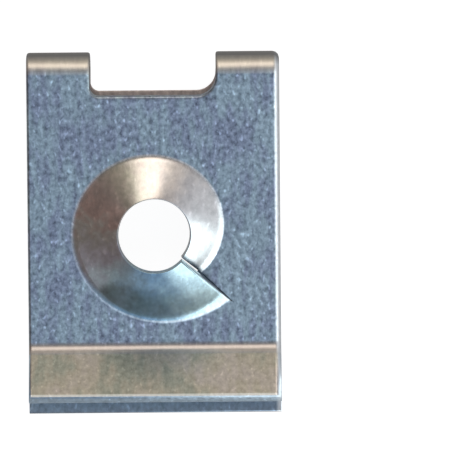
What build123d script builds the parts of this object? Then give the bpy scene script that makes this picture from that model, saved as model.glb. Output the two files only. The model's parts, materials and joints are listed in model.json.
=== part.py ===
from build123d import *
from build123d.topology import SkipClean
import os
from math import asin, atan, atan2, cos, degrees, hypot, radians, sin, tan

# U clip speed nut: one strip of spring steel, pierced, lanced and folded over.
# The clip lies on its back leg. X runs across the strip, +Y points to the fold and
# +Z up to the leg with the thread impression. Millimetres and degrees.

# strip
sheet = 0.5
clip_width = 13.0
edge_roll = 0.15  # blanking rounds the long edges of the outer side by this radius

# places along the clip, from the fold to the mouth
axis_from_fold = 9.4  # screw axis, on the outer face of the front leg
touch_from_axis = 5.65  # where the front leg comes down on the back leg
mouth_from_touch = 3.45

# fold: a crowned bridge between the two legs, all radii on the inner side
throat = 3.83
back_bend = 0.5
crown_bend = 6.0
crown_room = 0.95  # share of the flatter stretches beside the crown that its bend may use
front_bend = 0.25
crown_height = 1.84
back_lean = 6.0
front_lean = 18.0

# mouth: the front leg springs onto the back leg, then turns up as a lead-in lip
touch_gap = 0.05
lip_bend = 0.8
lip_angle = 33.3
lip_length = 3.58

# notch that leaves two straps over the fold
notch_width = 6.46
notch_front_depth = 2.45
notch_back_depth = 2.3
notch_left_radius = 0.45
notch_right_radius = 1.0
notch_reach = 0.7  # share of the throat that the tool from each leg crosses

# thread impression: one right-hand turn of a helix pressed out of the front leg
thread_hole_diameter = 3.66
thread_land = 0.14
thread_pitch = 1.22
crest_low = 0.83  # height of the flank over the edge of the hole, where the turn starts
base_radius_low = 3.0
base_radius_high = 5.05
base_bend = 0.5  # between the leg and the flank, on the outer side
slit_direction = -42.5
slit_width_inner = 0.14
slit_width_outer = 0.05
slit_overrun = 0.02  # past the bend at the foot of the flank

# locating tongue, lanced out of the back leg around the clearance hole
clearance_diameter = 5.4
clearance_from_axis = 0.25  # nearer the mouth, where the screw axis goes as the legs close
tongue_radius = 4.1
tongue_root = 1.6  # bend line, from the clearance hole's centre towards the mouth
tongue_angle = 10.5
tongue_bend = 0.8
lance_gap = 0.06

# modelling steps
sectors = 12  # the impression is built in this many equal sectors
sector_sections = 3

fold_y = (axis_from_fold + touch_from_axis + mouth_from_touch) / 2
axis_y = fold_y - axis_from_fold
touch_y = axis_y - touch_from_axis
mouth_y = touch_y - mouth_from_touch


def polar(angle):
    return Vector(cos(radians(angle)), sin(radians(angle)))


def corner_offset(radius, turn_in, turn_out):
    """How far a round corner lies back from the sharp one, along the axis it faces."""
    return radius * (cos(radians(turn_out - turn_in) / 2) / cos(radians(turn_out + turn_in) / 2) - 1)


# --- side profile, on the inner side of the strip, in (y, z) ---


def crown_radius():
    """Radius of the crown, limited by the stretches of the fold that it joins."""
    back_room = crown_height / cos(radians(back_lean)) - back_bend
    front_room = (throat - crown_height) / cos(radians(front_lean)) - front_bend
    half_turn = radians(back_lean + front_lean) / 2
    return min(crown_bend, crown_room * min(back_room, front_room) / tan(half_turn))


def fold_corners():
    """Back corner, crown and front corner of the fold, before they are rounded."""
    crown_y = fold_y - sheet + corner_offset(crown_radius(), back_lean, front_lean)
    back_y = crown_y - crown_height * tan(radians(back_lean))
    front_y = crown_y - (throat - crown_height) * tan(radians(front_lean))
    return (back_y, sheet), (crown_y, sheet + crown_height), (front_y, sheet + throat)


def front_leg_angle():
    """Slope of the front leg, from the fold's front corner down to where it touches."""
    _, _, (front_y, front_z) = fold_corners()
    bend = lip_bend + sheet
    run = front_y - touch_y
    drop = front_z - (sheet + touch_gap + bend)
    return degrees(atan2(drop, run) + asin(bend / hypot(run, drop)))


leg_angle = front_leg_angle()


def lip_corner():
    """Corner between the front leg and the lip, before it is rounded."""
    bend = lip_bend + sheet
    half_turn = radians(lip_angle + leg_angle) / 2
    y = touch_y - bend * sin(radians(lip_angle - leg_angle) / 2) / cos(half_turn)
    z = sheet + touch_gap - corner_offset(bend, leg_angle, lip_angle)
    return y, z


def folded_strip():
    """The strip before piercing: the side profile, drawn across the whole width."""
    corner_y, corner_z = lip_corner()
    lip_end = (
        corner_y - lip_length * cos(radians(lip_angle)),
        corner_z + lip_length * sin(radians(lip_angle)),
    )
    inner = FilletPolyline(
        (mouth_y, sheet),
        *fold_corners(),
        (corner_y, corner_z),
        lip_end,
        radius=[back_bend, crown_radius(), front_bend, lip_bend + sheet],
    )
    outline = inner.wire().offset_2d(sheet, side=Side.RIGHT, closed=True)
    strip = extrude(Plane.YZ * make_face(outline.edges()), clip_width / 2, both=True)
    inner_side = Plane.YZ * inner.wire()
    long_edges = [
        edge
        for edge in strip.edges()
        if abs(edge.center().X) > clip_width / 2 - sheet / 2
        and inner_side.distance_to(edge.center() - Vector(edge.center().X)) > sheet - edge_roll
    ]
    return fillet(long_edges, edge_roll)


# --- planes on the two legs ---


def front_leg_plane():
    """Plane on the outer face of the front leg, its origin on the screw axis, Z outward."""
    _, _, (front_y, front_z) = fold_corners()
    inner_z = front_z - (front_y - axis_y) * tan(radians(leg_angle))
    outer_z = inner_z + sheet / cos(radians(leg_angle))
    normal = (0, -sin(radians(leg_angle)), cos(radians(leg_angle)))
    return Plane(origin=(0, axis_y, outer_z), x_dir=(1, 0, 0), z_dir=normal)


def back_leg_plane():
    """Plane on the inner face of the back leg, its origin on the clearance hole."""
    return Plane(origin=(0, axis_y - clearance_from_axis, sheet), x_dir=(1, 0, 0), z_dir=(0, 0, 1))


front_plane = front_leg_plane()
back_plane = back_leg_plane()


# --- notch ---


def notch_sketch(depth):
    """Outline of the notch on one leg, its floor this far below the sketch's origin."""
    half, far = notch_width / 2, throat + crown_bend
    corners = [(-half, far), (-half, -depth), (half, -depth), (half, far)]
    radii = [0, notch_left_radius, notch_right_radius, 0]
    return make_face(FilletPolyline(*corners, radius=radii, close=True).edges())


def notch_cutter():
    """Both halves of the notch: square to the front leg, and square to the back leg."""
    reach = sheet + notch_reach * throat
    front = front_plane * Pos(0, axis_from_fold) * notch_sketch(notch_front_depth)
    back = back_plane * Pos(0, axis_from_fold + clearance_from_axis) * notch_sketch(notch_back_depth)
    return extrude(front, reach, both=True) + extrude(back, reach, both=True)


# --- thread impression, in the front leg's plane with the screw axis as Z ---

leg_depth = sheet + touch_gap / 2  # tools stop just through the leg, clear of the back leg


def base_radius(turn):
    """Radius at which the outer flank meets the leg, after this much turn from the slit.

    It is nearly round opposite the slit and flares or draws in towards it.
    """
    middle = (base_radius_low + base_radius_high) / 2
    return middle + (base_radius_high - middle) * (turn / 180 - 1) ** 3


def flank_slope(turn):
    """Rise of the flank for each millimetre inwards, so that its crest follows a helix."""
    crest = crest_low + thread_pitch * turn / 360
    return crest / (base_radius(turn) - thread_hole_diameter / 2)


def flank_under(radius, turn):
    """Height of the underside of the flank."""
    slope = flank_slope(turn)
    return (base_radius(turn) - radius) * slope - sheet * hypot(1, slope)


def rim_edge(turn):
    """Top edge of the rim, whose cut face is square to the flank down to a thread land."""
    slope = flank_slope(turn)
    hole = thread_hole_diameter / 2
    land_height = flank_under(hole, turn) + thread_land
    radius = (base_radius(turn) * slope + hole / slope - land_height) / (slope + 1 / slope)
    return radius, (base_radius(turn) - radius) * slope


def boss_outline(turn):
    """Metal pressed up out of the leg, rooted in the middle of the strip."""
    slope = flank_slope(turn)
    core = thread_hole_diameter / 2 - thread_land
    rim_radius, rim_height = rim_edge(turn)
    return [
        (core, -sheet / 2),
        (base_radius(turn) + sheet / 2 / slope, -sheet / 2),
        (rim_radius, rim_height),
        (core, rim_height - (rim_radius - core) / slope),
    ]


def hollow_outline(turn):
    """The hollow under the flank, carried on through the strip."""
    slope = flank_slope(turn)
    core = thread_hole_diameter / 4
    return [
        (core, -leg_depth),
        (core + (flank_under(core, turn) + leg_depth) / slope, -leg_depth),
        (core, flank_under(core, turn)),
    ]


def radial_face(outline, turn):
    """An outline standing on the screw axis, this far round from the slit."""
    out = polar(slit_direction + turn)
    plane = Plane(origin=(0, 0, 0), x_dir=out, z_dir=out.cross(Vector(0, 0, 1)))
    return plane * make_face(Polyline(*outline(turn), close=True))


def helical_sectors(outline):
    """One turn of an outline round the screw axis, as solids that meet face to face."""
    span = 360 / sectors
    for sector in range(sectors):
        turns = [sector * span + span * step / sector_sections for step in range(sector_sections + 1)]
        yield loft([radial_face(outline, turn) for turn in turns])


def through_leg(sketch):
    """A tool that cuts this outline out of the leg and everything pressed up from it."""
    return extrude(Pos(0, 0, -leg_depth) * sketch, leg_depth + throat)


def slit_sketch():
    """The slit from inside the hole to just past the outer end of the flank."""
    inner = thread_hole_diameter / 4
    outer = base_radius_high + base_bend * tan(atan(flank_slope(360)) / 2) + slit_overrun
    outline = Polyline(
        (inner, -slit_width_inner / 2),
        (outer, -slit_width_outer / 2),
        (outer, slit_width_outer / 2),
        (inner, slit_width_inner / 2),
        close=True,
    )
    return Rot(Z=slit_direction) * make_face(outline)


def foot_edges(body, height):
    """Edges where the flank meets one face of the front leg, at this height in its plane."""
    nearest = (thread_hole_diameter / 2 + base_radius_low) / 2
    farthest = base_radius_high + slit_overrun
    near_face = slit_overrun / 2
    for edge in body.edges().filter_by(GeomType.LINE, reverse=True):
        points = [front_plane.to_local_coords(edge @ place) for place in (0, 0.5, 1)]
        on_face = all(abs(point.Z - height) < near_face for point in points)
        if on_face and all(nearest < hypot(point.X, point.Y) < farthest for point in points):
            yield edge


def impressed(body):
    """The body with the thread impression raised, hollowed, pierced, slit and blended."""
    hole = through_leg(Circle(thread_hole_diameter / 2))
    with SkipClean():  # the land of the hole climbs, so it stays one face for each sector
        body -= front_plane * hole
        for boss in helical_sectors(boss_outline):
            body += front_plane * (boss - hole)
        for hollow in helical_sectors(hollow_outline):
            body -= front_plane * hollow
        body -= front_plane * through_leg(slit_sketch())
    body = fillet(list(foot_edges(body, 0)), base_bend)
    return fillet(list(foot_edges(body, -sheet)), base_bend + sheet)


# --- locating tongue, in the back leg's plane with the clearance hole as origin ---


def tongue_plan(radius):
    """Outline of the tongue from above: straight sides up to a round end."""
    sides = Pos(0, -tongue_root / 2) * Rectangle(2 * radius, tongue_root)
    round_end = Circle(radius) & Pos(0, radius) * Rectangle(2 * radius, 2 * radius)
    return round_end + sides


def back_leg_cutter():
    """What the lance and the piercing take out of the back leg."""
    opening = tongue_plan(tongue_radius + lance_gap) + Circle(clearance_diameter / 2)
    return extrude(Pos(0, 0, -sheet / 2) * opening, sheet, both=True)


def bent_tongue():
    """The tongue, bent in towards the front leg along its root."""
    bend = JernArc((-tongue_root, 0), (1, 0), tongue_bend, tongue_angle)
    inner = bend + PolarLine(bend @ 1, tongue_root + 2 * tongue_radius, tongue_angle)
    side = make_face(inner.wire().offset_2d(sheet, side=Side.RIGHT, closed=True).edges())
    plan = tongue_plan(tongue_radius) - Circle(clearance_diameter / 2)
    return extrude(Plane.YZ * side, clip_width / 2, both=True) & extrude(plan, throat, both=True)


def clip():
    body = folded_strip() - notch_cutter()
    body -= back_plane * back_leg_cutter()
    body += back_plane * bent_tongue()
    return impressed(body)


os.makedirs("parts", exist_ok=True)
export_step(clip(), "parts/clip.step")
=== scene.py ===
# %% [markdown]
# U clip speed nut. The real thing is one strip of zinc-plated spring steel, half a
# millimetre thick. A press tool pierces it flat, raises a one-turn thread, lances a
# tongue, and folds it over. It slides on a panel edge and takes a tapping screw.
# This lesson makes it in the same order: draw the flat blank, then let one Geometry
# Nodes tree press the thread and fold the strip.

# %% Load the frame
import json
from math import acos, asin, atan, cos, degrees, pi, radians, sin, tan

import bmesh
import bpy
from mathutils import Euler, Matrix, Vector
from mathutils.geometry import delaunay_2d_cdt

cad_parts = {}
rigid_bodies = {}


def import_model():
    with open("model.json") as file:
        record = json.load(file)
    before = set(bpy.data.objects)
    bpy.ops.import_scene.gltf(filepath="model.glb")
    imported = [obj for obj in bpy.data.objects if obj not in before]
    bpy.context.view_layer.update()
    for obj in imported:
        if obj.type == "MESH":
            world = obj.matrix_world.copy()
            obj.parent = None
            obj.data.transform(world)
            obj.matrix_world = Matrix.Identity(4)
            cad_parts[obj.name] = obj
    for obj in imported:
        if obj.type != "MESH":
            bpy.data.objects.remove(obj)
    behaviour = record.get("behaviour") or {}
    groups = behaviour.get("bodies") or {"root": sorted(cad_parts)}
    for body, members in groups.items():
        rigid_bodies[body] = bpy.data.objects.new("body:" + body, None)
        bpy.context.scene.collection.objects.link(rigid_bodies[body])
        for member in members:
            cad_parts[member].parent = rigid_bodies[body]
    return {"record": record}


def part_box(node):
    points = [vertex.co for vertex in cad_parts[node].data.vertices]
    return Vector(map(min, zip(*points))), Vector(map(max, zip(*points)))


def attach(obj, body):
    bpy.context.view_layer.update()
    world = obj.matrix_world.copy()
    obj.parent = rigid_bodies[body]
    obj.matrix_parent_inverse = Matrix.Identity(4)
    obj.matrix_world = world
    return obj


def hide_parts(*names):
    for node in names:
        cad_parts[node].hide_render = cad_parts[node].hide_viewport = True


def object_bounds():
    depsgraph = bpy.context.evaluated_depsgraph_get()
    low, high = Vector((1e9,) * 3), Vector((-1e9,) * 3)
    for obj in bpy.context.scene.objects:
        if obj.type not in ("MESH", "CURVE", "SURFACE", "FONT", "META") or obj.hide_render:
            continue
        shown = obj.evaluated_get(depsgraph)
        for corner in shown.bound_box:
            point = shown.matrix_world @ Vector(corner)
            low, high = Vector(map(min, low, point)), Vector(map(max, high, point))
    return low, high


for leftover in list(bpy.data.objects):
    bpy.data.objects.remove(leftover)
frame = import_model()
cad_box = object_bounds()
MM = 0.001


def in_mm(box):
    """Both corners of a box in millimetres, for printing."""
    return [[round(value / MM, 2) for value in corner] for corner in box]


print("solid model, in mm:", in_mm(cad_box))

# %% [markdown]
# Sizes. The clip is drawn with one unit for one millimetre and is brought to metres
# at the end, because Blender's bevel takes lengths near a ten-thousandth of a unit
# for nothing. The width, the length and the two round holes come from the solid
# model, and so does the slope of the upper leg, which the screw axis stands square
# to. The rest are tool sizes. They could be typed where they are used, but here they
# stand together, so that another size of clip needs changes in one place only.

# %% Sizes of the strip
SHEET = 0.5
low_corner, high_corner = (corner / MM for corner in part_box("clip"))
HALF_WIDTH = (high_corner.x - low_corner.x) / 2
FOLD_Y, MOUTH_Y = high_corner.y, low_corner.y

mounts = {mount["name"]: mount for mount in frame["record"]["mounts"]}
LEG_ANGLE = acos(-mounts["thread_impression"]["axis"][2])
AXIS_FROM_FOLD = 9.4  # screw axis, on the outer face of the upper leg
AXIS_Y = FOLD_Y - AXIS_FROM_FOLD
CLEARANCE_Y = mounts["clearance_hole"]["pos_m"][1] / MM
print(f"strip {HALF_WIDTH * 2:.2f} mm wide, upper leg at {degrees(LEG_ANGLE):.2f} degrees")

# %% Sizes of the fold and the lip
THROAT = 3.83  # how far apart the two legs are at the fold
CROWN_HEIGHT = 1.84  # height above the lower leg of the corner that the crown's bend rounds
BACK_LEAN, FRONT_LEAN = radians(6), radians(18)  # of the straps below and above it, from upright
BACK_BEND, CROWN_BEND, FRONT_BEND = 0.5, 6.0, 0.3  # radii on the hollow side
TOUCH_FROM_AXIS, TOUCH_GAP = 5.65, 0.05  # where the lip's bend comes closest to the lower leg
LIP_BEND, LIP_ANGLE = 0.6, radians(33.3)
LIP_LENGTH = 3.54  # from the sharp corner that the bend rounds
print(f"legs {THROAT} mm apart at the fold and {TOUCH_GAP} mm at the lip")

# %% Sizes of the notch and the tongue
NOTCH_WIDTH = 6.46
NOTCH_FRONT_DEPTH, NOTCH_BACK_DEPTH = 2.36, 1.79  # into the upper and the lower leg
NOTCH_LEFT_RADIUS, NOTCH_RIGHT_RADIUS = 0.45, 1.0
NOTCH_ROLL = 0.12  # how far its edges are rounded over
CLEARANCE_RADIUS = mounts["clearance_hole"]["dims"]["r_mm"]
TONGUE_RADIUS, LANCE_GAP = 4.1, 0.06  # of its round end, and the width of the cut round it
TONGUE_ROOT = 1.6  # from the clearance hole's centre
TONGUE_ANGLE, TONGUE_BEND = radians(10.5), 0.8
print(f"notch {NOTCH_WIDTH} mm wide, clearance hole {CLEARANCE_RADIUS * 2:.2f} mm")

# %% Sizes of the thread
HOLE_RADIUS = mounts["thread_impression"]["dims"]["r_mm"]
RIM_DRAFT = 0.05  # how much wider the pierced hole is at its upper edge
CREST_LOW, PITCH = 0.83, 1.22
FOOT_LOW, FOOT_HIGH = 3.0, 4.95
FOOT_MIDDLE = (FOOT_LOW + FOOT_HIGH) / 2
FOOT_EVENNESS = 0.45  # 1 makes the foot an even spiral, 0 keeps it round and opens it near the slit
FOOT_BEND, END_BEND = 0.75, 1.3  # radius of the bend at the foot, and at its high end
END_TURN = 1.3  # the bend opens out over this last part of the turn, in radians
FLANK_CROWNING = 0.09  # how far the middle of the flank stands proud of a straight one
SLIT_DIRECTION = radians(-42.5)
SLIT_INNER, SLIT_OUTER = 0.09, 0.02  # its width at the hole and at its tip
OVERHANG, OVERHANG_TURN = 0.14, 0.4  # reach of the high end over the low one, and where it starts
print(f"thread for a {HOLE_RADIUS * 2:.2f} mm hole, {PITCH} mm pitch")

# %% [markdown]
# Bend lines. A press brake folds a flat strip along straight lines, so the whole
# side view is a list of bends: where each starts on the flat strip, its radius on
# the hollow side and its angle. The flat strip is measured from the screw axis,
# along y: the lip is at negative y, then come the upper leg, the fold and the lower
# leg. The bends could be set by eye, but worked out from the corners of the side
# view, as on a drawing, they still fit together when a size changes.

# %% Corners of the side view
def corner_offset(radius, turn_in, turn_out):
    """How far the corner of two leaning lines lies beyond the arc that rounds it."""
    return radius * (cos((turn_out - turn_in) / 2) / cos((turn_out + turn_in) / 2) - 1)


CROWN_Y = FOLD_Y - SHEET + corner_offset(CROWN_BEND, BACK_LEAN, FRONT_LEAN)
back_corner_y = CROWN_Y - CROWN_HEIGHT * tan(BACK_LEAN)
front_corner = (CROWN_Y - (THROAT - CROWN_HEIGHT) * tan(FRONT_LEAN), SHEET + THROAT)
inner_z = front_corner[1] - (front_corner[0] - AXIS_Y) * tan(LEG_ANGLE)
AXIS_Z = inner_z + SHEET / cos(LEG_ANGLE)


def along_leg(y, z):
    """Distance from the screw axis, along the upper leg, of a point in the side view."""
    return (y - AXIS_Y) * cos(LEG_ANGLE) + (z - AXIS_Z) * sin(LEG_ANGLE)


print(f"outer face of the upper leg is {AXIS_Z:.2f} mm high at the screw axis")

# %% Bends of the fold
front_turn = pi / 2 - FRONT_LEAN + LEG_ANGLE
crown_turn = BACK_LEAN + FRONT_LEAN
back_turn = pi / 2 - BACK_LEAN
front_cut = FRONT_BEND * tan(front_turn / 2)  # a cut is what a bend takes off the line on each side
crown_cut = CROWN_BEND * tan(crown_turn / 2)
back_cut = BACK_BEND * tan(back_turn / 2)

front_line = along_leg(*front_corner) - front_cut
front_strap = (THROAT - CROWN_HEIGHT) / cos(FRONT_LEAN) - front_cut - crown_cut
crown_line = front_line + FRONT_BEND * front_turn + front_strap
back_strap = CROWN_HEIGHT / cos(BACK_LEAN) - crown_cut - back_cut
back_line = crown_line + CROWN_BEND * crown_turn + back_strap
back_leg_start = back_line + BACK_BEND * back_turn


def on_back_leg(y):
    """Place on the flat strip of a point of the lower leg."""
    return back_leg_start + (back_corner_y - back_cut) - y


MOUTH_END = on_back_leg(MOUTH_Y)
print(f"straps from {front_line:.2f} to {back_leg_start:.2f} mm, strip ends at {MOUTH_END:.2f} mm")

# %% Bend of the lip
lip_turn = LIP_ANGLE + LEG_ANGLE
lip_hollow = LIP_BEND + SHEET
lip_cut = lip_hollow * tan(lip_turn / 2)
touch_y = AXIS_Y - TOUCH_FROM_AXIS
lip_corner_y = touch_y - lip_hollow * sin((LIP_ANGLE - LEG_ANGLE) / 2) / cos(lip_turn / 2)
lip_corner_z = SHEET + TOUCH_GAP - corner_offset(lip_hollow, LEG_ANGLE, LIP_ANGLE)
lip_line = along_leg(lip_corner_y, lip_corner_z) + lip_cut
LIP_END = lip_line - LIP_BEND * lip_turn - (LIP_LENGTH - lip_cut)
print(f"lip from {lip_line:.2f} to {LIP_END:.2f} mm")

# %% The list of bends
AHEAD, BEHIND = 1.0, -1.0  # the side of the bend line that moves, along the strip


def bend_sizes(line, radius, angle, side, toward_outer=0.0):
    """Sizes of one bend, under the names of the bend group's inputs."""
    return {"Line": line, "Radius": radius, "Angle": angle, "Side": side, "Toward Outer": toward_outer}


tongue_line = on_back_leg(CLEARANCE_Y - TONGUE_ROOT)
TONGUE = bend_sizes(tongue_line, TONGUE_BEND, TONGUE_ANGLE, BEHIND)
BENDS = {  # from the far end of the strip inwards
    "Back Corner": bend_sizes(back_line, BACK_BEND, back_turn, AHEAD),
    "Crown": bend_sizes(crown_line, CROWN_BEND, crown_turn, AHEAD),
    "Front Corner": bend_sizes(front_line, FRONT_BEND, front_turn, AHEAD),
    "Lip": bend_sizes(lip_line, LIP_BEND, lip_turn, BEHIND, toward_outer=1.0),
}
for name, bend in BENDS.items():
    print(f"{name}: radius {bend['Radius']} mm, turned by {degrees(bend['Angle']):.1f} degrees")

# %% [markdown]
# The openings. The clip has a notch over its fold, which leaves two narrow straps
# that spring, the pierced hole of the thread, a clearance hole in the lower leg, and
# a cut round the tongue. They could be cut from a finished solid, but on the flat
# blank each is a plain outline, as it is on the press tool.

# %% Helpers for outlines
def arc(centre, radius, start, end, steps):
    """Points on an arc, with both ends."""
    angles = [start + (end - start) * step / steps for step in range(steps + 1)]
    return [(centre[0] + radius * cos(angle), centre[1] + radius * sin(angle)) for angle in angles]


def loop_of(points):
    """Pairs of points round a closed outline."""
    return list(zip(points, points[1:] + points[:1]))


def is_inside(point, outline):
    """Whether a ray to the right crosses the outline an odd number of times."""
    x, y = point
    crossings = 0
    for (x1, y1), (x2, y2) in loop_of(outline):
        if (y1 > y) != (y2 > y) and x < x1 + (y - y1) * (x2 - x1) / (y2 - y1):
            crossings += 1
    return crossings % 2 == 1


octagon = arc((0, 0), 1, 0, 2 * pi, 8)[:-1]
print("is its middle inside an octagon?", is_inside((0, 0), octagon))
print("is a point outside it inside?", is_inside((2, 0), octagon))

# %% The notch
CORNER_STEPS = 8


def notch_outline(grown=0):
    """The notch on the flat strip, or a line at this distance round it."""
    half = NOTCH_WIDTH / 2 + grown
    front = AXIS_FROM_FOLD - NOTCH_FRONT_DEPTH - grown
    back = on_back_leg(FOLD_Y - NOTCH_BACK_DEPTH) + grown
    left, right = NOTCH_LEFT_RADIUS + grown, NOTCH_RIGHT_RADIUS + grown
    return (
        arc((-half + left, front + left), left, -pi, -pi / 2, CORNER_STEPS)
        + arc((half - right, front + right), right, -pi / 2, 0, CORNER_STEPS)
        + arc((half - right, back - right), right, 0, pi / 2, CORNER_STEPS)
        + arc((-half + left, back - left), left, pi / 2, pi, CORNER_STEPS)
    )


notch_reach = max(y for x, y in notch_outline()) - min(y for x, y in notch_outline())
print(f"the notch takes up {notch_reach:.2f} mm of the flat strip")

# %% [markdown]
# The thread's place on the blank. The flank starts to rise at a foot line, which
# winds once round the hole and ends further out than it began. A slit from the hole
# to that line lets the two ends of the turn stand at different heights. The line
# could be a circle, but then the flank would be steep at its high end, where the
# sheet is drawn up furthest.

# %% Foot line and slit
TURN_STEPS = 144
TURNS = [2 * pi * step / TURN_STEPS for step in range(TURN_STEPS + 1)]


def foot_radius(turn):
    """Where the flank of the thread meets the leg, after this turn from the slit."""
    opposite = turn / pi - 1
    spiral = FOOT_EVENNESS * opposite + (1 - FOOT_EVENNESS) * opposite ** 3
    return FOOT_MIDDLE + (FOOT_HIGH - FOOT_MIDDLE) * spiral


def flank_angle(turn):
    """Slope of the flank, whose crest over the edge of the hole climbs as a helix."""
    return atan((CREST_LOW + PITCH * turn / (2 * pi)) / (foot_radius(turn) - HOLE_RADIUS))


def foot_bend(turn):
    """Radius of the bend at the foot."""
    return FOOT_BEND + (END_BEND - FOOT_BEND) * max(0, 1 - (2 * pi - turn) / END_TURN) ** 2


def foot_tangent(turn):
    """Length from the foot to either end of the bend that rounds it."""
    return foot_bend(turn) * tan(flank_angle(turn) / 2)


def at_turn(radius, turn):
    """A point at this radius and turn from the slit, held back to the slit's edge."""
    share = (radius - HOLE_RADIUS) / (FOOT_HIGH - HOLE_RADIUS)
    half_gap = (SLIT_INNER + (SLIT_OUTER - SLIT_INNER) * share) / 2
    edge = asin(half_gap / radius)
    angle = SLIT_DIRECTION + min(max(turn, edge), 2 * pi - edge)
    return radius * cos(angle), radius * sin(angle)


foot_outline = [at_turn(foot_radius(turn) + foot_tangent(turn), turn) for turn in TURNS]
slit_tip = at_turn(FOOT_HIGH + foot_tangent(2 * pi) + SLIT_OUTER, 0)
low_slope, high_slope = degrees(flank_angle(0)), degrees(flank_angle(2 * pi))
print(f"flank rises at {low_slope:.0f} degrees at its low end and {high_slope:.0f} at its high end")

# %% Clearance hole and tongue
CIRCLE_STEPS = 96
clearance = (0, on_back_leg(CLEARANCE_Y))
clearance_outline = arc(clearance, CLEARANCE_RADIUS, 0, 2 * pi, CIRCLE_STEPS)[:-1]


def tongue_edge(radius):
    """The tongue's edge: up one side from the root, round the end, and back down."""
    round_end = arc(clearance, radius, 0, -pi, CIRCLE_STEPS // 2)
    return [(radius, tongue_line), *round_end, (-radius, tongue_line)]


lance_outline = tongue_edge(TONGUE_RADIUS + LANCE_GAP) + tongue_edge(TONGUE_RADIUS)[::-1]
openings = [notch_outline(), foot_outline + [slit_tip], clearance_outline, lance_outline]
print("points round each opening:", [len(outline) for outline in openings])

# %% [markdown]
# The blank. A flat outline with holes can be filled in many ways. Here a constrained
# triangulation fills it, because it keeps every line it is given: the outline, the
# openings, a line round the notch that its rounded edge can end on, and a few lines
# across the strip at each bend so that it can curve there. The thread needs its own
# even rings, so its place is left open for now.

# %% Lines across the strip
BEND_STEPS, TONGUE_BEND_STEPS = 10, 3


def bend_lines(bend, reach, steps):
    """Lines across the strip, this far to each side, that divide a bend into even steps."""
    places = [bend["Line"] + bend["Side"] * bend["Radius"] * bend["Angle"] * step / steps
              for step in range(steps + 1)]
    return [[(-reach, y), (reach, y)] for y in places]


cross_lines = [line for bend in BENDS.values() for line in bend_lines(bend, HALF_WIDTH, BEND_STEPS)]
cross_lines += bend_lines(TONGUE, TONGUE_RADIUS, TONGUE_BEND_STEPS)
print(len(cross_lines), "lines across the strip")

# %% Fill the blank
KEEP_DISTANCE, MERGE_DISTANCE = 1e-5, 1e-4  # the filling's tolerance, and that of closing gaps
border = [
    (-HALF_WIDTH, LIP_END), (HALF_WIDTH, LIP_END),
    (HALF_WIDTH, MOUTH_END), (-HALF_WIDTH, MOUTH_END),
]
outlines = [border, *openings, notch_outline(NOTCH_ROLL * 2)]
segments = [segment for outline in outlines for segment in loop_of(outline)] + cross_lines
corners = [Vector(point) for segment in segments for point in segment]
edges = [(index, index + 1) for index in range(0, len(corners), 2)]
points, _, triangles, *_ = delaunay_2d_cdt(corners, edges, [], 0, KEEP_DISTANCE)


def is_metal(triangle):
    """Whether the middle of a triangle lies in the border and in no opening."""
    middle = sum((points[index] for index in triangle), Vector((0, 0))) / 3
    return is_inside(middle, border) and not any(is_inside(middle, hole) for hole in openings)


solid_triangles = [triangle for triangle in triangles if is_metal(triangle)]
print(len(points), "points,", len(solid_triangles), "triangles kept of", len(triangles))

# %% [markdown]
# Rings for the thread. The flank runs from the rim to a foot that spirals outwards.
# It could be filled like the rest, but long thin triangles would shade unevenly on a
# curved face. So rings are spread between the rim and the foot at every turn, and the
# last few lie close together where the leg bends up into the flank.

# %% Rings of the thread
FLANK_RINGS, FOOT_RINGS = 12, 6


def ring_radius(ring, turn):
    """Radius of a ring: evenly from the rim down the flank, then round the bend at its foot."""
    rim = HOLE_RADIUS + RIM_DRAFT
    outer_end = foot_radius(turn) + foot_tangent(turn)
    inner_end = outer_end - foot_bend(turn) * sin(flank_angle(turn))
    if ring <= FLANK_RINGS:
        return rim + (inner_end - rim) * ring / FLANK_RINGS
    return inner_end + (outer_end - inner_end) * (ring - FLANK_RINGS) / FOOT_RINGS


ring_places = [
    [at_turn(ring_radius(ring, turn), turn) for turn in TURNS]
    for ring in range(FLANK_RINGS + FOOT_RINGS + 1)
]
print(len(ring_places), "rings of", len(TURNS), "points")

# %% Make the blank a mesh
blank = bmesh.new()
filled = [blank.verts.new((*point, 0)) for point in points]
for triangle in solid_triangles:
    blank.faces.new([filled[index] for index in triangle])
rings = [[blank.verts.new((*place, 0)) for place in ring] for ring in ring_places]
for inner, outer in zip(rings, rings[1:]):
    for step in range(TURN_STEPS):
        blank.faces.new((inner[step], outer[step], outer[step + 1], inner[step + 1]))

unused = [vert for vert in blank.verts if not vert.link_faces]
bmesh.ops.delete(blank, geom=unused, context="VERTS")
bmesh.ops.remove_doubles(blank, verts=blank.verts[:], dist=MERGE_DISTANCE)
bmesh.ops.recalc_face_normals(blank, faces=blank.faces[:])
if blank.faces[0].normal.z < 0:
    bmesh.ops.reverse_faces(blank, faces=blank.faces[:])
for face in blank.faces:
    face.smooth = True

blank_mesh = bpy.data.meshes.new("blank")
blank.to_mesh(blank_mesh)
border_edges = [edge for edge in blank.edges if edge.is_boundary]
print("blank:", len(blank.faces), "faces,", len(border_edges), "border edges")
blank.free()

# %% [markdown]
# Formulas in nodes. Pressing and folding are sums on each point's place. They could
# be written as separate Math nodes, but those are hard to read. So this small class
# lets a formula be typed as usual, and adds one Math node for every sign in it.

# %% A number that builds Math nodes
def feed(tree, value, socket):
    """Links a number or another socket to this input, or sets it to a plain value."""
    if isinstance(value, Number):
        value = value.socket
    if isinstance(value, bpy.types.NodeSocket):
        tree.links.new(value, socket)
    elif socket.type == "RGBA":
        socket.default_value = (*value, 1)
    else:
        socket.default_value = value


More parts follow.
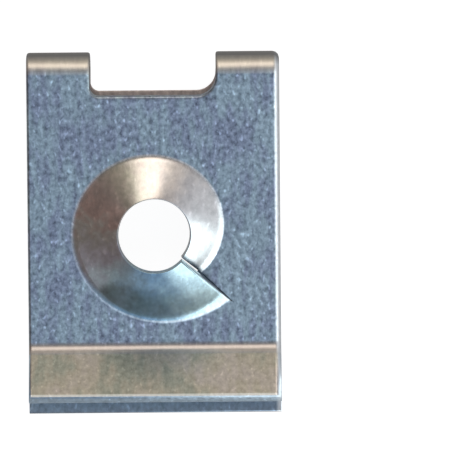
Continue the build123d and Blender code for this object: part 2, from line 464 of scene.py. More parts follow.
class Number:
    """A number socket. Using it in a formula adds the Math nodes to its tree."""

    def __init__(self, tree, socket):
        self.tree, self.socket = tree, socket

    def math(self, operation, *others):
        """The result of any Math node that starts from this number."""
        node = self.tree.nodes.new("ShaderNodeMath")
        node.operation = operation
        for slot, value in zip(node.inputs, (self, *others)):
            feed(self.tree, value, slot)
        return Number(self.tree, node.outputs[0])

    def __add__(self, other):
        return self.math("ADD", other)

    def __sub__(self, other):
        return self.math("SUBTRACT", other)

    def __rsub__(self, other):
        return self * -1 + other

    def __mul__(self, other):
        return self.math("MULTIPLY", other)

    def __truediv__(self, other):
        return self.math("DIVIDE", other)

    def between(self, low, high):
        """This number, held between two others."""
        return self.math("MAXIMUM", low).math("MINIMUM", high)


print("a Number can be used with the signs + - * and /")

# %% Helpers for node trees
def add_node(tree, kind, links=None, **settings):
    """A node with its settings, and with these inputs linked or set."""
    node = tree.nodes.new(kind)
    for name, value in settings.items():
        setattr(node, name, value)
    for label, value in (links or {}).items():
        feed(tree, value, node.inputs[label])
    return node


def parts_of(tree, vector):
    """The x, y and z of a vector socket, as numbers."""
    split = add_node(tree, "ShaderNodeSeparateXYZ", {"Vector": vector})
    return [Number(tree, socket) for socket in split.outputs]


def joined(tree, x, y, z):
    """A vector socket of three numbers."""
    return add_node(tree, "ShaderNodeCombineXYZ", {"X": x, "Y": y, "Z": z}).outputs[0]


trial = bpy.data.node_groups.new("trial", "GeometryNodeTree")
trial_x, trial_y, trial_z = parts_of(trial, trial.nodes.new("GeometryNodeInputPosition").outputs[0])
joined(trial, trial_x * 2 + 1, trial_y, trial_z)
print("a position with x doubled and 1 added takes", len(trial.nodes), "nodes")
bpy.data.node_groups.remove(trial)

# %% Helpers for geometry trees
def geometry_tree(name, inputs):
    """A geometry tree with named inputs. Returns it, its geometry, its numbers, and its end."""
    tree = bpy.data.node_groups.new(name, "GeometryNodeTree")
    tree.interface.new_socket("Geometry", in_out="OUTPUT", socket_type="NodeSocketGeometry")
    tree.interface.new_socket("Geometry", in_out="INPUT", socket_type="NodeSocketGeometry")
    for label, value in inputs.items():
        kind = "NodeSocketBool" if isinstance(value, bool) else "NodeSocketFloat"
        socket = tree.interface.new_socket(label, in_out="INPUT", socket_type=kind)
        socket.default_value = value
    start, end = tree.nodes.new("NodeGroupInput"), tree.nodes.new("NodeGroupOutput")
    numbers = {label: Number(tree, start.outputs[label]) for label in inputs}
    return tree, start.outputs["Geometry"], numbers, end.inputs["Geometry"]


def position(tree):
    """Where each point is by now."""
    return tree.nodes.new("GeometryNodeInputPosition").outputs[0]


def flat_place(tree):
    """Where a point was on the flat strip, as three numbers."""
    node = add_node(tree, "GeometryNodeInputNamedAttribute", {"Name": "flat"}, data_type="FLOAT_VECTOR")
    return parts_of(tree, node.outputs["Attribute"])


def store(tree, geometry, name, value, data_type, domain):
    """The geometry with this value kept at each point, edge or face."""
    links = {"Geometry": geometry, "Name": name, "Value": value}
    kind = "GeometryNodeStoreNamedAttribute"
    return add_node(tree, kind, links, data_type=data_type, domain=domain).outputs["Geometry"]


def move_to(tree, geometry, x, y, z, selection=True):
    """The geometry with its selected points at a new place."""
    links = {"Geometry": geometry, "Position": joined(tree, x, y, z), "Selection": selection}
    return add_node(tree, "GeometryNodeSetPosition", links).outputs["Geometry"]


print("attributes to be stored: flat, cut, burnished and bevel_weight_edge")

# %% [markdown]
# Bending. In a bend, a point travels round the bend's centre by an angle that grows
# evenly along the flat strip, and everything past the bend swings with it. The turn
# is read from the flat place, which is stored before the first bend, so the bends
# can be made one after another from the far end inwards. An armature could fold a
# strip too, but one node group does all bends exactly: the side that moves and the
# face it moves towards are inputs.

# %% The bend group
def make_bend_group():
    sizes = {**bend_sizes(0.0, 1.0, 1.0, AHEAD), "Sheet": SHEET, "Selection": True}
    tree, geometry, size, end = geometry_tree("Bend", sizes)
    x, y, z = parts_of(tree, position(tree))
    flat_y = flat_place(tree)[1]

    side, radius, to_outer = size["Side"], size["Radius"], size["Toward Outer"]
    sign = 1 - to_outer * 2  # -1 turns the sheet over, so that one formula bends it either way
    base = (1 - to_outer) * size["Sheet"]  # brings the hollow face to height 0
    turn = ((flat_y - size["Line"]) * side / radius).between(0, size["Angle"])
    sine, cosine = turn.math("SINE"), turn.math("COSINE")
    past = (y - size["Line"]) * side - radius * turn  # what lies beyond the bend, along the strip
    from_centre = z * sign + base + radius
    out = from_centre * sine + past * cosine
    height = from_centre * cosine - radius - past * sine
    new_y, new_z = size["Line"] + side * out, (height - base) * sign
    tree.links.new(move_to(tree, geometry, x, new_y, new_z, size["Selection"]), end)
    return tree


BEND_GROUP = make_bend_group()
print("bend group:", len(BEND_GROUP.nodes), "nodes")

# %% [markdown]
# Pressing. The thread is one turn of a flank round the pierced hole, which a punch
# draws up while a die holds the leg round it. A swept profile could make it as well,
# but pushing up the rings of the blank keeps thread and leg one sheet. The height is
# worked out from how far a point lies inside the foot: first round the bend, then
# straight up the flank, whose middle is crowned a little. The lower face follows
# square to the flank, so the sheet keeps its thickness, but it stops at the pierced
# hole. The high end is drawn over the low one, so no light comes through the slit.

# %% The thread at one turn
def last_part(turn, length):
    """0 until this length before the full turn, then evenly up to 1."""
    return ((turn - 2 * pi) / length + 1).math("MAXIMUM", 0)


def foot_and_slope(size, turn):
    """Where the bend at the foot ends on the leg, its radius, and the slope of the flank."""
    opposite, evenness = turn / pi - 1, size["Foot Evenness"]
    spiral = evenness * opposite + (1 - evenness) * opposite * opposite * opposite
    foot = size["Foot Middle"] + size["Foot Growth"] * spiral
    crest = size["Crest Low"] + size["Pitch"] * turn / (2 * pi)
    angle = (crest / (foot - size["Hole Radius"])).math("ARCTANGENT")
    ending = last_part(turn, size["End Turn"])
    bend = size["Foot Bend"] + (size["End Bend"] - size["Foot Bend"]) * ending * ending
    return foot + bend * (angle / 2).math("TANGENT"), bend, angle


THREAD_SIZES = {
    "Hole Radius": HOLE_RADIUS, "Crest Low": CREST_LOW, "Pitch": PITCH,
    "Foot Middle": FOOT_MIDDLE, "Foot Growth": FOOT_HIGH - FOOT_MIDDLE,
    "Foot Evenness": FOOT_EVENNESS, "Foot Bend": FOOT_BEND,
    "End Bend": END_BEND, "End Turn": END_TURN,
    "Slit Direction": SLIT_DIRECTION, "Crowning": FLANK_CROWNING,
    "Overhang": OVERHANG, "Overhang Turn": OVERHANG_TURN,
}
print(len(THREAD_SIZES), "sizes for the thread")

# %% The press group
def make_press_group():
    tree, geometry, size, end = geometry_tree("Press Thread", THREAD_SIZES)
    x, y, z = parts_of(tree, position(tree))
    radius = (x * x + y * y).math("SQRT")
    turn = (y.math("ARCTAN2", x) - size["Slit Direction"]).math("WRAP", 2 * pi, 0)
    outer_end, bend, angle = foot_and_slope(size, turn)

    inside = (outer_end - radius).math("MAXIMUM", 0)
    bend_reach = bend * angle.math("SINE")
    slope = (inside / bend).math("MINIMUM", angle.math("SINE")).math("ARCSINE")
    slope_sine, slope_cosine = slope.math("SINE"), slope.math("COSINE")
    round_rise = bend - slope_cosine * bend
    flank_rise = (inside - bend_reach).math("MAXIMUM", 0) * angle.math("TANGENT")
    share = inside / (outer_end - size["Hole Radius"])
    crowning = share * (1 - share) * (size["Crowning"] * 4)  # the full amount halfway up
    top = round_rise + flank_rise + crowning + z * slope_cosine

    # the lower face keeps square to the flank, and the high end reaches over the slit
    shrink = (z * slope_sine + radius).math("MAXIMUM", size["Hole Radius"]) / radius
    near_end = last_part(turn, size["Overhang Turn"])
    reach = near_end * near_end * share * size["Overhang"]
    new_x = x * shrink + size["Slit Direction"].math("SINE") * -1 * reach
    new_y = y * shrink + size["Slit Direction"].math("COSINE") * reach
    pressed = move_to(tree, geometry, new_x, new_y, top)
    tree.links.new(store(tree, pressed, "burnished", slope / angle, "FLOAT", "POINT"), end)
    return tree


PRESS_GROUP = make_press_group()
print("press group:", len(PRESS_GROUP.nodes), "nodes")

# %% [markdown]
# Zinc plate. Bright zinc on rolled steel is a blue-grey metal under a clear
# passivation film, which leaves violet, teal and straw-coloured patches. A metal
# shader with one colour would look like polished silver, so the film is painted in.
# All of it goes by the flat place of each point, so the pattern follows the strip
# round its bends, and every mark of the tools, and every painted highlight, reflection
# and shade, is simply a place on the blank.

# %% Helpers for the material
def noise(tree, vector, spots, detail, roughness):
    """A noise with this many spots for each millimetre along x, y and z."""
    stretched = add_node(tree, "ShaderNodeMapping", {"Vector": vector, "Scale": spots})
    links = {"Vector": stretched.outputs[0], "Scale": 1, "Detail": detail, "Roughness": roughness}
    return Number(tree, add_node(tree, "ShaderNodeTexNoise", links).outputs["Fac"])


def ramp(tree, factor, stops):
    """A colour ramp through (place, colour) stops."""
    node = add_node(tree, "ShaderNodeValToRGB", {"Fac": factor})
    elements = node.color_ramp.elements
    while len(elements) < len(stops):
        elements.new(0.5)
    for element, (place, colour) in zip(elements, stops):
        element.position = place
        element.color = (*colour, 1)
    return node.outputs["Color"]


FACTOR, FIRST, SECOND, RESULT = 0, 6, 7, 2


def blended(tree, how, factor, first, second):
    """Two colours in one. A Mix node repeats its sockets for each kind, so they go by place."""
    node = add_node(tree, "ShaderNodeMix", data_type="RGBA", blend_type=how)
    for place, value in ((FACTOR, factor), (FIRST, first), (SECOND, second)):
        feed(tree, value, node.inputs[place])
    return node.outputs[RESULT]


def fade(value, zero_at, one_at):
    """0 at one place and 1 at the other, even between them and held beyond both."""
    return ((value - zero_at) / (one_at - zero_at)).between(0, 1)


print("helpers: noise, ramp, blended and fade")

# %% [markdown]
# Where each finish and each painted light lies. The fold gets a painted warm highlight,
# and painted shade past its front corner; the lip gets a painted warm reflection; the
# thread is burnished by punch and die, and its flank gets the room's reflections painted
# in; the inner faces get painted shade, brown near the fold; and a painted highlight runs
# along the right edge and the lip's end. Each of these could be a painted mask, but a
# fade along the strip is enough, because the tools work along straight lines and round
# the thread. Lengths are in millimetres on the flat strip.

# %% Where each finish and each painted light lies
RIGHT_HIGHLIGHT_WIDTH = 0.3  # width of the painted highlight along the right edge
PALE_LINE_SHARE = 0.2  # where a pale line runs, as a share of the way up the bend at the foot


class Strip:
    """A point as the material sees it: its flat place, and how much each finish and each painted light
    counts.
    """

    def __init__(self, tree):
        self.tree = tree
        self.flat = self.read("flat").outputs["Vector"]
        self.x, self.y, self.z = parts_of(tree, self.flat)
        self.cut = self.mark("cut")
        self.skin = 1 - self.cut

        burnished = self.mark("burnished")  # 0 on the leg, 1 on the straight flank
        self.pressed = fade(burnished, 0, 0.4)
        # a pale line round the bend at the foot of the flank
        self.pale_foot_line = fade((burnished - PALE_LINE_SHARE).math("ABSOLUTE"), 0.175, 0.05)
        from_slit = (self.y.math("ARCTAN2", self.x) - SLIT_DIRECTION) / (2 * pi)
        self.around = from_slit.math("WRAP", 1, 0)

        before_lower_leg = fade(self.y, back_leg_start, back_leg_start - 0.5)
        # the fold: where a painted warm highlight of the lamp behind lies
        self.fold = fade(self.y, front_line - 0.1, front_line + 0.15) * before_lower_leg
        # painted shade over the fold, from partway round its front corner onwards
        self.painted_shade_past_corner = fade(self.y, front_line + 0.17, front_line + 0.503) * self.fold
        # the lip: where a painted warm reflection lies, in patches of film tint
        self.lip = fade(self.y, lip_line - 0.6, lip_line - 0.767)
        # along the lip's bend: a painted highlight tint
        self.lip_bend = fade(self.y, lip_line, lip_line - 0.25) * (1 - self.lip)

        self.inside = fade(self.z, -0.8 * SHEET, -0.9 * SHEET) * self.skin
        # inner faces near the fold: painted shade, brown
        past_corner = fade(self.y, front_line, front_line + 0.8) * 0.8
        near_fold = past_corner * fade(self.y, back_leg_start + 5, back_leg_start + 4)
        self.painted_shade_inside_fold = self.inside * near_fold

        # painted highlight along the right edge and on the lip's end
        right_edge_highlight = fade(self.x, HALF_WIDTH - RIGHT_HIGHLIGHT_WIDTH, HALF_WIDTH - RIGHT_HIGHLIGHT_WIDTH / 2)
        lip_end_highlight = fade(self.y, LIP_END + 0.18, LIP_END + 0.13) * self.skin
        self.painted_edge_highlight = (right_edge_highlight * (1 - self.lip * 0.4)).math("MAXIMUM", lip_end_highlight * 0.6)

    def read(self, name):
        """What the stamping tree stores under this name."""
        return add_node(self.tree, "ShaderNodeAttribute", attribute_name=name)

    def mark(self, name):
        return Number(self.tree, self.read(name).outputs["Fac"])


# the lip's warm tint is a painted reflection
print(f"film stays whole on the lip, beyond {lip_line - 0.6:.2f} mm on the strip")

# %% [markdown]
# The pattern of the plating. Rolling draws the steel's grain out along the strip, and
# zinc settles on it in small crystals, some brighter. One noise can't be both fine
# and broad, so five are used together, from the grain to wide patches in the film.

# %% Patterns in the plating
PATTERNS = {  # spots for each millimetre along x, y and z, then detail and roughness
    "grain": ((4.6, 3.4, 4.6), 3, 0.6),
    "streaks": ((2.4, 0.5, 2.4), 2, 0.5),
    "crystals": ((4.5, 3, 4.5), 1, 0.4),
    "patches": ((0.32, 0.32, 0.32), 3, 0.55),
    "clouds": ((1.3, 1.3, 1.3), 2, 0.6),
}


NOISE_MIDDLE = 0.5


def swing(pattern, amount):
    """A pattern turned into a change to both sides of 0."""
    return (pattern - NOISE_MIDDLE) * amount


for name, (spots, *_) in PATTERNS.items():
    print(f"{name}: a spot is {1 / spots[0]:.2f} mm wide and {1 / spots[1]:.2f} mm long")

# %% [markdown]
# Colour. The film lies in layers of tint over the zinc, and painted light lies over it.
# On the flank the reflections of the room are painted in, a tint for each side round the
# turn. The shader's own thin film could give such colours too, but a table of tints is
# easier to match to a sample, place by place.

# %% Colours of the film
VIOLET, TEAL, SHADE_BLUE = (0.295, 0.33, 0.41), (0.305, 0.37, 0.405), (0.37, 0.48, 0.60)
STRAW, GREY_GREEN, MAUVE = (0.45, 0.41, 0.34), (0.36, 0.37, 0.31), (0.46, 0.41, 0.38)
FOLD_HIGHLIGHT_CREAM, FOLD_SHADE_BRONZE = (0.66, 0.60, 0.52), (0.40, 0.31, 0.26)
# a pale white, for the line round the foot and the painted edge highlight
SHEARED, PALE_WHITE = (0.51, 0.61, 0.69), (0.85, 0.89, 0.92)
LEG_FILM = [(0.36, VIOLET), (0.58, TEAL)]
LIP_REFLECTION_TINTS = [(0.38, GREY_GREEN), (0.5, STRAW), (0.64, MAUVE)]
FLANK_REFLECTION_TINTS = [  # painted reflections of the room, by the turn from the slit
    (0.0, (0.72, 0.76, 0.77)), (0.12, (0.66, 0.69, 0.70)), (0.24, (0.61, 0.61, 0.62)),
    (0.36, (0.64, 0.58, 0.54)), (0.44, (0.46, 0.45, 0.38)), (0.51, (0.51, 0.45, 0.42)),
    (0.57, (0.61, 0.48, 0.44)), (0.62, (0.51, 0.53, 0.50)), (0.68, (0.53, 0.54, 0.61)),
    (0.76, (0.43, 0.56, 0.59)), (0.87, (0.42, 0.62, 0.76)), (0.96, (0.56, 0.76, 0.83)),
]


def film_colour(strip, pattern):
    """The tint of the film over the flat leg, with the painted reflections, highlights and shade laid
    over it.
    """
    tree = strip.tree
    streaks, patches, clouds = pattern["streaks"], pattern["patches"], pattern["clouds"]
    leg = ramp(tree, patches + swing(streaks, 0.8), LEG_FILM)
    # a painted warm reflection on the lip, in patches of film tint
    lip = ramp(tree, patches + swing(streaks, 0.4), LIP_REFLECTION_TINTS)
    flank_reflection = ramp(tree, strip.around + swing(clouds, 0.16) + swing(patches, 0.1), FLANK_REFLECTION_TINTS)
    layers = [  # how much of each tint lies over those before it
        # painted warm reflection on the lip
        (strip.lip * strip.skin * 0.9, lip),
        # painted warm highlight on the fold
        (strip.fold * 0.85, FOLD_HIGHLIGHT_CREAM),
        # painted highlight tint along the lip's bend
        (strip.lip_bend * 0.9, MAUVE),
        # painted reflections of the room round the flank
        (strip.pressed * 0.85, flank_reflection),
        # a pale line round the foot of the flank
        (strip.pale_foot_line * 0.5, PALE_WHITE),
        (strip.inside * 0.7, SHADE_BLUE),
        (strip.cut * strip.lip, SHEARED),
        # painted shade inside the fold
        (strip.painted_shade_inside_fold, FOLD_SHADE_BRONZE),
        # painted highlight along the right edge and the lip's end
        (strip.painted_edge_highlight, PALE_WHITE),
    ]
    colour = leg
    for amount, tint in layers:
        colour = blended(tree, "MIX", amount, colour, tint)
    return colour


print(len(FLANK_REFLECTION_TINTS), "tints round the flank")

# %% [markdown]
# Grain and gloss. Rubbing a plated face flattens its crystals, so the grain is weaker
# where a tool has slid on it, and punch and die leave the thread glossier too. The
# fold is painted darker past its front corner, as shade. A face that the tools cut is a
# smooth band with a dull torn one below it. The grain could be colour alone, but real
# crystals also tilt the surface, so a small bump goes with it.

# %% Grain, cut faces and gloss
BRIGHT_CRYSTAL = 0.62  # crystals above this level stand out
SMOOTH_SHARE, ALL_TORN = 0.45, 0.575  # of the sheet's thickness, from the outer face
PLATE_ROUGHNESS = 0.34


def contrast_of(strip):
    """How much of the grain is left: less where the surface was rubbed, on the inner faces, and under
    the painted highlights.
    """
    smoothed = strip.pressed * 0.88 + strip.fold + strip.lip_bend + strip.painted_edge_highlight + strip.inside * 0.6
    return 1 - smoothed.math("MINIMUM", 1) * 0.85


def brightness(strip, pattern, contrast):
    """What the film's colour is multiplied by."""
    amounts = {"grain": 2.3, "streaks": 0.7, "patches": 0.5}
    fine, long, wide = (swing(pattern[name], amount) for name, amount in amounts.items())
    bright_crystals = (pattern["crystals"] - BRIGHT_CRYSTAL).math("MAXIMUM", 0) * 6
    speckle = (fine + long + wide + bright_crystals) * contrast * (1 - strip.lip * 0.6)
    stains = swing(pattern["clouds"], 0.7) * strip.pressed
    # the fold is painted darker past its front corner, as shade; cut faces are a quarter darker
    return (speckle + stains + 1) * (1 - strip.painted_shade_past_corner * 0.8) * (1 - strip.cut * 0.25)


def torn_share(strip, pattern):
    """How much a cut face is torn: smooth near the outer face, torn below an uneven line."""
    depth = strip.z / -SHEET + swing(pattern["grain"], 0.75)
    return fade(depth, SMOOTH_SHARE, ALL_TORN) * strip.cut


def roughness_of(strip, pattern, contrast, torn):
    """Rougher where the sheet is strained or torn, smoother where punch and die rubbed it."""
    changes = strip.fold * 0.09 + strip.lip_bend * 0.02 - strip.pressed * 0.1 + torn * 0.2
    return swing(pattern["grain"], 0.2) * contrast + changes + PLATE_ROUGHNESS


print("a cut face is smooth down to", SMOOTH_SHARE * SHEET, "mm")

# %% The zinc material
CRYSTAL_RELIEF, RELIEF_STRENGTH = 0.012, 0.5  # how far the bump rises, in millimetres, and how strongly


def make_zinc():
    material = bpy.data.materials.new("zinc plate")
    material.use_nodes = True
    tree = material.node_tree
    shader = tree.nodes["Principled BSDF"]
    shader.inputs["Metallic"].default_value = 1

    strip = Strip(tree)
    pattern = {name: noise(tree, strip.flat, *sizes) for name, sizes in PATTERNS.items()}
    contrast = contrast_of(strip)
    tone = brightness(strip, pattern, contrast)
    grey = joined(tree, tone, tone, tone)
    colour = blended(tree, "MULTIPLY", 1.0, film_colour(strip, pattern), grey)
    feed(tree, colour, shader.inputs["Base Color"])

    torn = torn_share(strip, pattern)
    feed(tree, roughness_of(strip, pattern, contrast, torn), shader.inputs["Roughness"])
    height = (pattern["grain"] + pattern["patches"] * 0.5) * contrast * (torn * 2 + 1)
    relief = {"Height": height, "Strength": RELIEF_STRENGTH, "Distance": CRYSTAL_RELIEF * MM}
    feed(tree, add_node(tree, "ShaderNodeBump", relief).outputs["Normal"], shader.inputs["Normal"])
    return material


zinc = make_zinc()
print("zinc:", len(zinc.node_tree.nodes), "nodes")

# %% [markdown]
# The plate. A Solidify modifier could give the blank its thickness, but the tree
# does it while the blank is flat, so that the faces that a tool cut can be marked for
# the material: a copy is pushed down, its sides come with it, and both are turned to
# face outwards.

# %% Give the blank its thickness
def thickened(tree, blank_in, sheet):
    """A closed plate under the blank, with its cut faces marked and its flat place stored."""
    down = joined(tree, 0, 0, sheet * -1)
    links = {"Mesh": blank_in, "Offset": down, "Individual": False}
    pushed = add_node(tree, "GeometryNodeExtrudeMesh", links)
    marked = store(tree, pushed.outputs["Mesh"], "cut", pushed.outputs["Side"], "FLOAT", "FACE")
    flipped = add_node(tree, "GeometryNodeFlipFaces", {"Mesh": marked}).outputs["Mesh"]
    both = add_node(tree, "GeometryNodeJoinGeometry")
    for half in (flipped, blank_in):
        tree.links.new(half, both.inputs["Geometry"])
    links = {"Geometry": both.outputs["Geometry"], "Distance": MERGE_DISTANCE}
    closed = add_node(tree, "GeometryNodeMergeByDistance", links).outputs["Geometry"]
    return store(tree, closed, "flat", position(tree), "FLOAT_VECTOR", "POINT")


print(f"the sides will be {SHEET} mm high, with {len(border_edges)} faces")

# %% [markdown]
# Cut edges. A punch pulls the sheet's edge down before it cuts, so every blanked edge
# is rolled over a little on the side that the punch came from. It is more where the
# tool is worn or runs loose: here on the right, on the lip's end, round the notch
# and at the high end of the slit. One bevel for all would make every edge alike, so
# each cut edge gets a bevel weight instead.

# %% Weights for the edges
RIGHT_ROLL, LEFT_ROLL, LIP_END_ROLL, SLIT_ROLL = 0.34, 0.15, 0.18, 0.14
CUT_ROUNDING = 0.045  # every other cut edge
CUT_ANGLE = radians(60)  # where two faces meet more sharply than this, a tool cut one of them
AT_SLIT = 0.018  # a point this little short of the full turn lies on the slit's high end
NEAR = SHEET / 4  # and this near to a line or a face, it lies on it


def bevel_weight(tree, size):
    """How much each edge of the flat plate is rounded, as a share of the widest roll."""
    x, y, z = parts_of(tree, position(tree))
    from_slit = (y.math("ARCTAN2", x) - SLIT_DIRECTION).math("WRAP", 2 * pi, 0)
    within_foot = (x * x + y * y).math("LESS_THAN", FOOT_HIGH ** 2)
    beside_notch = x.math("ABSOLUTE").math("LESS_THAN", NOTCH_WIDTH / 2 + NEAR)
    past_notch_start = y.math("GREATER_THAN", AXIS_FROM_FOLD - NOTCH_FRONT_DEPTH - NEAR)
    before_notch_end = y.math("LESS_THAN", on_back_leg(FOLD_Y - NOTCH_BACK_DEPTH) + NEAR)
    rolls = [
        (x.math("COMPARE", size["Half Width"], NEAR), RIGHT_ROLL),
        (x.math("COMPARE", size["Half Width"] * -1, NEAR), LEFT_ROLL),
        (y.math("COMPARE", LIP_END, NEAR), LIP_END_ROLL),
        (within_foot * from_slit.math("GREATER_THAN", 2 * pi - AT_SLIT), SLIT_ROLL),
        (beside_notch * past_notch_start * before_notch_end, NOTCH_ROLL),
    ]
    extra = x * 0
    for on_edge, roll in rolls:
        extra = extra.math("MAXIMUM", on_edge * (roll - CUT_ROUNDING))

    angle = Number(tree, tree.nodes.new("GeometryNodeInputMeshEdgeAngle").outputs[0])
    on_outer_face = z.math("COMPARE", 0, NEAR)
    on_a_face = on_outer_face + z.math("COMPARE", size["Sheet"] * -1, NEAR)
    rounding = extra * on_outer_face + CUT_ROUNDING
    return angle.math("GREATER_THAN", CUT_ANGLE) * on_a_face * rounding / RIGHT_ROLL


print(f"edges are rounded by {CUT_ROUNDING} to {RIGHT_ROLL} mm")

# %% [markdown]
# The whole job in one tree: plate, weights, thread, tongue, and then the bends from
# the lower leg inwards. The tongue bends like the rest, but only the points within
# its lanced outline may move, so its bend has a selection. Modelling each pose of the
# strip by hand would give the same clip, but not for another width or angle.

# %% The tongue's own points
def on_tongue(tree, bend_line):
    """Whether a point lies within the middle of the lance cut, beyond the tongue's root."""
    flat_x, flat_y, _ = flat_place(tree)
    reach, centre_y = TONGUE_RADIUS + LANCE_GAP / 2, clearance[1]
    across = flat_x.math("ABSOLUTE").math("LESS_THAN", reach)
    from_centre = flat_x * flat_x + (flat_y - centre_y) * (flat_y - centre_y)
    round_end = from_centre.math("SQRT").math("LESS_THAN", reach)
    straight_sides = flat_y.math("GREATER_THAN", centre_y)
    beyond_root = flat_y.math("LESS_THAN", bend_line)
    return across * beyond_root * round_end.math("MAXIMUM", straight_sides)


print(f"the tongue is {TONGUE_RADIUS * 2} mm wide")

# %% The stamping tree
STRIP_SIZES = {"Sheet": SHEET, "Half Width": HALF_WIDTH, "Tongue Line": tongue_line}


def make_stamping_tree():
    tree, blank_in, size, end = geometry_tree("Stamp and Fold", STRIP_SIZES)
    plate = thickened(tree, blank_in, size["Sheet"])
    shape = store(tree, plate, "bevel_weight_edge", bevel_weight(tree, size), "FLOAT", "EDGE")
    press = add_node(tree, "GeometryNodeGroup", node_tree=PRESS_GROUP)
    tree.links.new(shape, press.inputs["Geometry"])
    shape = press.outputs["Geometry"]

    for name, sizes in {"Tongue": TONGUE, **BENDS}.items():
        bend = add_node(tree, "GeometryNodeGroup", node_tree=BEND_GROUP, label=name)
        tree.links.new(shape, bend.inputs["Geometry"])
        for label, value in {**sizes, "Sheet": size["Sheet"]}.items():
            feed(tree, value, bend.inputs[label])
        if name == "Tongue":
            feed(tree, on_tongue(tree, size["Tongue Line"]), bend.inputs["Selection"])
        shape = bend.outputs["Geometry"]

    whole = add_node(tree, "GeometryNodeRealizeInstances", {"Geometry": shape}).outputs["Geometry"]
    links = {"Geometry": whole, "Material": zinc}
    tree.links.new(add_node(tree, "GeometryNodeSetMaterial", links).outputs["Geometry"], end)
    return tree


stamping_tree = make_stamping_tree()
print("stamping tree:", len(stamping_tree.nodes), "nodes")

# %% Run the tree
blank_object = bpy.data.objects.new("blank", blank_mesh)
bpy.context.scene.collection.objects.link(blank_object)
stamping = blank_object.modifiers.new("stamp and fold", "NODES")
stamping.node_group = stamping_tree
for socket in stamping_tree.interface.items_tree:
    if socket.name in STRIP_SIZES:
        stamping[socket.identifier] = STRIP_SIZES[socket.name]

bevel = blank_object.modifiers.new("cut edges", "BEVEL")
bevel.limit_method = "WEIGHT"
bevel.width = RIGHT_ROLL
bevel.segments = 3
bevel.use_clamp_overlap = False
weighted = blank_object.modifiers.new("flat faces stay flat", "WEIGHTED_NORMAL")
weighted.keep_sharp = True

depsgraph = bpy.context.evaluated_depsgraph_get()
finished = blank_object.evaluated_get(depsgraph)
clip_mesh = bpy.data.meshes.new_from_object(finished, depsgraph=depsgraph)
bpy.data.objects.remove(blank_object)
print("stamped clip:", len(clip_mesh.vertices), "points,", len(clip_mesh.polygons), "faces")

# %% [markdown]
# Its place. The clip lies on its lower leg, with its fold where the solid model has
# it. Moving the object would do for a render, but the place goes into the mesh, so
# that the object stays at the origin and the clip can be used as the solid model is.

# %% Bring it to metres and to its place
clip_mesh.transform(Matrix.Translation((0, AXIS_Y, AXIS_Z)) @ Matrix.Rotation(LEG_ANGLE, 4, "X"))
lowest = min(vertex.co.z for vertex in clip_mesh.vertices)
clip_mesh.transform(Matrix.Translation((0, 0, -lowest)))
clip_mesh.transform(Matrix.Scale(MM, 4))
clip_mesh.name = "stamped_clip"
clip = bpy.data.objects.new("stamped_clip", clip_mesh)
bpy.context.scene.collection.objects.link(clip)
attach(clip, "root")
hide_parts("clip")
print(f"raised by {-lowest:.4f} mm to lie on the table")

# %% [markdown]
# The camera. Small parts are shown from far off with a long lens, which keeps them
# in proportion. A parallel view could do the same, but it would lose the trace of
# depth that a real lens leaves. The camera looks almost straight down on the upper
# leg, from a little towards the mouth.

# %% Camera
CAMERA_DISTANCE = 0.6
CAMERA_TILT, CAMERA_YAW = radians(6.6), radians(-0.5)
FRAME_WIDTH = 23.25 * MM
SENSOR_WIDTH = 36
VIEW_CENTRE = Vector((3.7 * MM, 0.14 * MM, 0.5 * (cad_box[0][2] + cad_box[1][2])))

camera_data = bpy.data.cameras.new("camera")
camera_data.sensor_width = SENSOR_WIDTH
camera_data.lens = SENSOR_WIDTH * CAMERA_DISTANCE / FRAME_WIDTH
camera = bpy.data.objects.new("camera", camera_data)
camera.rotation_euler = Euler((CAMERA_TILT, 0, CAMERA_YAW))
backwards = camera.rotation_euler.to_matrix() @ Vector((0, 0, 1))
camera.location = VIEW_CENTRE + backwards * CAMERA_DISTANCE
bpy.context.scene.collection.objects.link(camera)
bpy.context.scene.camera = camera
print(f"the lens is {camera_data.lens:.0f} mm long")

# %% [markdown]
# The table. It is white to the camera, and about half as bright to the clip, so that
# its reflection doesn't wash out the flank. Strong lamps could make it white too, but
# they would light the clip as well. Its own dim paint takes the clip's soft shadow.

# %% Floor
TABLE_GLOW, MIRRORED_SHARE = 0.94, 0.45
TABLE_PAINT = (0.22, 0.22, 0.22)


def make_table_white():
    material = bpy.data.materials.new("white table")
    material.use_nodes = True
    tree = material.node_tree
    tree.nodes.remove(tree.nodes["Principled BSDF"])
    path = tree.nodes.new("ShaderNodeLightPath")
    to_camera = Number(tree, path.outputs["Is Camera Ray"])
    seen = to_camera + Number(tree, path.outputs["Is Glossy Ray"]) * MIRRORED_SHARE
    paint = add_node(tree, "ShaderNodeBsdfDiffuse", {"Color": TABLE_PAINT})
    glow = add_node(tree, "ShaderNodeEmission", {"Strength": seen * TABLE_GLOW})
    total = tree.nodes.new("ShaderNodeAddShader")
    tree.links.new(paint.outputs[0], total.inputs[0])
    tree.links.new(glow.outputs[0], total.inputs[1])
    tree.links.new(total.outputs[0], tree.nodes["Material Output"].inputs["Surface"])
    return material


bpy.ops.mesh.primitive_plane_add(size=4)
floor = bpy.context.object
floor.name = "floor"
floor.data.materials.append(make_table_white())
print("the table is", floor.dimensions.x, "m wide")

# %% [markdown]
# Soft boxes. Bare metal shows the room more than its own colour, so its light is made
# as shapes that it can mirror: a warm box behind the fold, and a cool one in front,
# on the right. Area lamps could stand there, but a shape in the room's own colour can
# fade out towards its edges, and so do the highlights that it makes.

# %% Soft boxes
ABOVE_HORIZON = 0.001  # least height of a direction, so that nothing is divided by 0
SOFT_BOXES = {  # place is how far it leans from straight up, and is then turned, in degrees
    "behind": {"place": (38, 0), "size": (28, 31), "soft_edge": 0.24, "colour": (2.6, 2.42, 2.22)},
    "front right": {"place": (60, 140), "size": (60, 50), "soft_edge": 0.3, "colour": (2.0, 2.12, 2.15)},
}


def turned(tree, vector, axis, angle):
    """A direction turned about one axis by this angle in degrees."""
    links = {"Vector": vector, "Angle": radians(angle)}
    return add_node(tree, "ShaderNodeVectorRotate", links, rotation_type=axis).outputs[0]


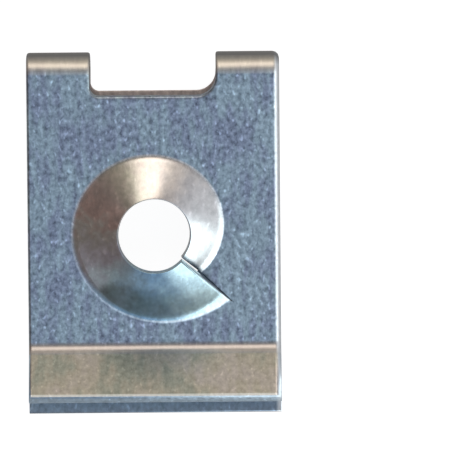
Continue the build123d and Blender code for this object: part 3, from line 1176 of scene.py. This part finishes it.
def soft_box(tree, direction, place, size, soft_edge):
    """How much of this soft box is seen in a direction."""
    lean, turn = place
    facing = turned(tree, direction, "Z_AXIS", turn)
    x, y, z = parts_of(tree, turned(tree, facing, "X_AXIS", lean))
    forward = z.math("MAXIMUM", ABOVE_HORIZON)
    halves = [tan(radians(angle) / 2) for angle in size]
    across, along = (
        fade((side / forward).math("ABSOLUTE"), half + soft_edge / 2, half - soft_edge / 2)
        for side, half in zip((x, y), halves)
    )
    seen = across * along
    return seen * seen * (3 - seen * 2)


print("soft boxes:", ", ".join(SOFT_BOXES))

# %% [markdown]
# The room. It is a plain studio: bluish in front, dim overhead and to the left, pale
# behind and to the right. Walls could be built for it, but the metal only shows their
# colours, so a ramp of colours from front to back stands in for them.

# %% The room
ROOM = [  # 0 is in front, 0.5 overhead and 1 behind
    (0.0, (0.24, 0.33, 0.46)), (0.22, (0.36, 0.47, 0.62)), (0.37, (0.56, 0.68, 0.86)),
    (0.43, (0.34, 0.37, 0.44)), (0.56, (0.30, 0.29, 0.29)), (0.64, (0.38, 0.34, 0.31)),
    (0.74, (0.75, 0.66, 0.57)), (0.84, (0.85, 0.79, 0.69)), (0.92, (0.74, 0.71, 0.64)),
    (1.0, (0.5, 0.48, 0.43)),
]
LEFT_WALL, RIGHT_WALL = (0.26, 0.215, 0.20), (0.82, 0.81, 0.83)


def make_room():
    world = bpy.data.worlds.new("studio")
    world.use_nodes = True
    tree = world.node_tree
    direction = add_node(tree, "ShaderNodeTexCoord").outputs["Generated"]
    x, y, z = parts_of(tree, direction)
    to_back = y.math("ARCTAN2", z.math("MAXIMUM", ABOVE_HORIZON)) / pi + 0.5
    colour = ramp(tree, to_back, ROOM)
    colour = blended(tree, "MIX", fade(x, -0.25, -0.75), colour, LEFT_WALL)
    colour = blended(tree, "MIX", fade(x, 0.133, 0.8), colour, RIGHT_WALL)
    for box in SOFT_BOXES.values():
        seen = soft_box(tree, direction, box["place"], box["size"], box["soft_edge"])
        colour = blended(tree, "MIX", seen, colour, box["colour"])
    tree.links.new(colour, tree.nodes["Background"].inputs["Color"])
    return world


bpy.context.scene.world = make_room()
bpy.context.scene.view_settings.view_transform = "Standard"
print("room:", len(bpy.context.scene.world.node_tree.nodes), "nodes")
